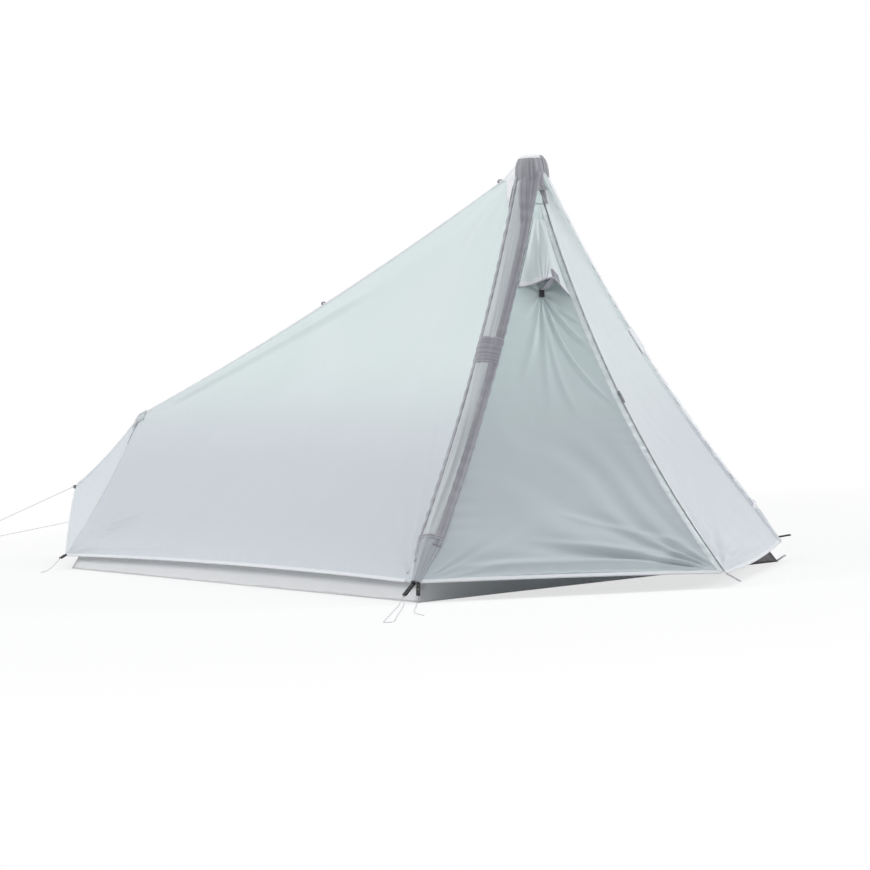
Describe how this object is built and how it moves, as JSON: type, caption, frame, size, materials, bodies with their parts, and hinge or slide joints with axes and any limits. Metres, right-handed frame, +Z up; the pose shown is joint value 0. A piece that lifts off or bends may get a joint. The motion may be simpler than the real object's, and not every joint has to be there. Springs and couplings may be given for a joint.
{
  "type": "ultralight tent",
  "caption": "Ultralight one-person tent with a long low fly, two pole sleeves with telescoping trekking poles, a hinged porch door with a vent, an inner tent and guylines.",
  "frame": {"origin": "centre of the floor's underside, on the ground", "axes": "+X towards the porch at the head end, +Z up, the door on the -Y side"},
  "size_m": [4.1898, 1.7111, 1.2049],
  "materials": {
    "fly_cloth": "satin",
    "grey_cloth": "matte",
    "inner_mesh": "matte",
    "floor_cloth": "matte",
    "black_plastic": "satin",
    "grip_foam": "matte",
    "alloy": "satin",
    "cord": "matte"
  },
  "bodies": {
    "tent": {"beak_tip_tab": "grey_cloth", "far_floor_loop": "floor_cloth", "far_foot_beak": "fly_cloth", "far_foot_pocket": "grey_cloth", "far_head_adjuster": "black_plastic", "far_pole_grip": "grip_foam", "far_pole_sleeve": "grey_cloth", "far_pole_upper_shaft": "alloy", "far_porch_panel": "fly_cloth", "far_side_panel": "fly_cloth", "far_sleeve_patch": "grey_cloth", "far_zip_tape": "grey_cloth", "floor_tub": "floor_cloth", "foot_pole": "alloy", "foot_ridge_patch": "grey_cloth", "guyline_lower": "cord", "guyline_upper": "cord", "inner_far_wall": "inner_mesh", "inner_foot_tab": "grey_cloth", "inner_foot_wall": "inner_mesh", "inner_head_wall": "inner_mesh", "inner_near_wall": "inner_mesh", "inner_ridge_tape": "grey_cloth", "near_floor_cord": "cord", "near_foot_adjuster": "black_plastic", "near_foot_beak": "fly_cloth", "near_foot_cord": "cord", "near_foot_pocket": "grey_cloth", "near_head_adjuster": "black_plastic", "near_head_cord": "cord", "near_head_strap": "black_plastic", "near_pole_grip": "grip_foam", "near_pole_sleeve": "grey_cloth", "near_pole_upper_shaft": "alloy", "near_side_panel": "fly_cloth", "near_sleeve_patch": "grey_cloth", "peak_cap": "fly_cloth", "peak_cup": "black_plastic", "porch_loop": "grey_cloth", "porch_yoke": "fly_cloth", "ridge_loop_front": "grey_cloth", "ridge_loop_middle": "grey_cloth", "zip_top_flap": "grey_cloth"},
    "door": {"door_panel": "fly_cloth", "door_zip_tape": "grey_cloth", "vent_mesh": "inner_mesh", "vent_hood": "fly_cloth", "prop_tab": "black_plastic"},
    "zip_slider": {"zip_slider": "black_plastic"},
    "zip_pull": {"zip_pull": "black_plastic"},
    "vent_prop": {"vent_prop": "grey_cloth"},
    "inner_door": {"inner_door": "inner_mesh"},
    "near_pole_middle": {"near_pole_middle_shaft": "alloy"},
    "near_pole_lower": {"near_pole_lower_shaft": "alloy"},
    "near_upper_lever": {"near_pole_upper_lever": "black_plastic"},
    "near_lower_lever": {"near_pole_lower_lever": "black_plastic"},
    "far_pole_middle": {"far_pole_middle_shaft": "alloy"},
    "far_pole_lower": {"far_pole_lower_shaft": "alloy"},
    "far_upper_lever": {"far_pole_upper_lever": "black_plastic"},
    "far_lower_lever": {"far_pole_lower_lever": "black_plastic"}
  },
  "joints": [
    {"name": "door_swing", "type": "hinge", "parent": "tent", "child": "door", "pos_m": [1.2406, -0.63469, 0.0548], "axis": [0.1585, -0.4998, -0.8515], "range_deg": [0, 105]},
    {"name": "zip_travel", "type": "hinge", "parent": "door", "child": "zip_slider", "pos_m": [3.72745, 0, 2.18903], "axis": [0, 1, 0], "range_deg": [-12, 10.5]},
    {"name": "zip_pull_swing", "type": "hinge", "parent": "zip_slider", "child": "zip_pull", "pos_m": [1.34781, 0, 0.52946], "axis": [0, -1, 0], "range_deg": [0, 120]},
    {"name": "vent_prop_fold", "type": "hinge", "parent": "door", "child": "vent_prop", "pos_m": [1.11004, -0.0744, 0.8259], "axis": [-0.3856, -0.9154, 0.1155], "range_deg": [0, 48]},
    {"name": "inner_door_swing", "type": "hinge", "parent": "tent", "child": "inner_door", "pos_m": [1.15769, -0.04572, 0.18866], "axis": [0, -1, 0], "range_deg": [0, 80]},
    {"name": "near_pole_upper_slide", "type": "hinge", "parent": "tent", "child": "near_pole_middle", "pos_m": [2.64472, -4.15014, 3.08057], "axis": [0.9313, 0.3641, -0.014], "range_deg": [0, 2.96]},
    {"name": "near_pole_lower_slide", "type": "hinge", "parent": "near_pole_middle", "child": "near_pole_lower", "pos_m": [2.64472, -4.15014, 3.08057], "axis": [0.9313, 0.3641, -0.014], "range_deg": [0, 2.96]},
    {"name": "near_upper_lever_fold", "type": "hinge", "parent": "tent", "child": "near_upper_lever", "pos_m": [1.07804, -0.19264, 0.76346], "axis": [0.326, -0.8156, 0.4781], "range_deg": [0, 85]},
    {"name": "near_lower_lever_fold", "type": "hinge", "parent": "near_pole_middle", "child": "near_lower_lever", "pos_m": [1.1484, -0.38581, 0.42047], "axis": [0.3115, -0.7757, 0.5489], "range_deg": [0, 85]},
    {"name": "far_pole_upper_slide", "type": "hinge", "parent": "tent", "child": "far_pole_middle", "pos_m": [2.64472, 4.15014, 3.08057], "axis": [-0.9313, 0.3641, 0.014], "range_deg": [0, 2.96]},
    {"name": "far_pole_lower_slide", "type": "hinge", "parent": "far_pole_middle", "child": "far_pole_lower", "pos_m": [2.64472, 4.15014, 3.08057], "axis": [-0.9313, 0.3641, 0.014], "range_deg": [0, 2.96]},
    {"name": "far_upper_lever_fold", "type": "hinge", "parent": "tent", "child": "far_upper_lever", "pos_m": [1.07804, 0.19264, 0.76346], "axis": [-0.326, -0.8156, -0.4781], "range_deg": [0, 85]},
    {"name": "far_lower_lever_fold", "type": "hinge", "parent": "far_pole_middle", "child": "far_lower_lever", "pos_m": [1.1484, 0.38581, 0.42047], "axis": [-0.3115, -0.7757, -0.5489], "range_deg": [0, 85]}
  ]
}
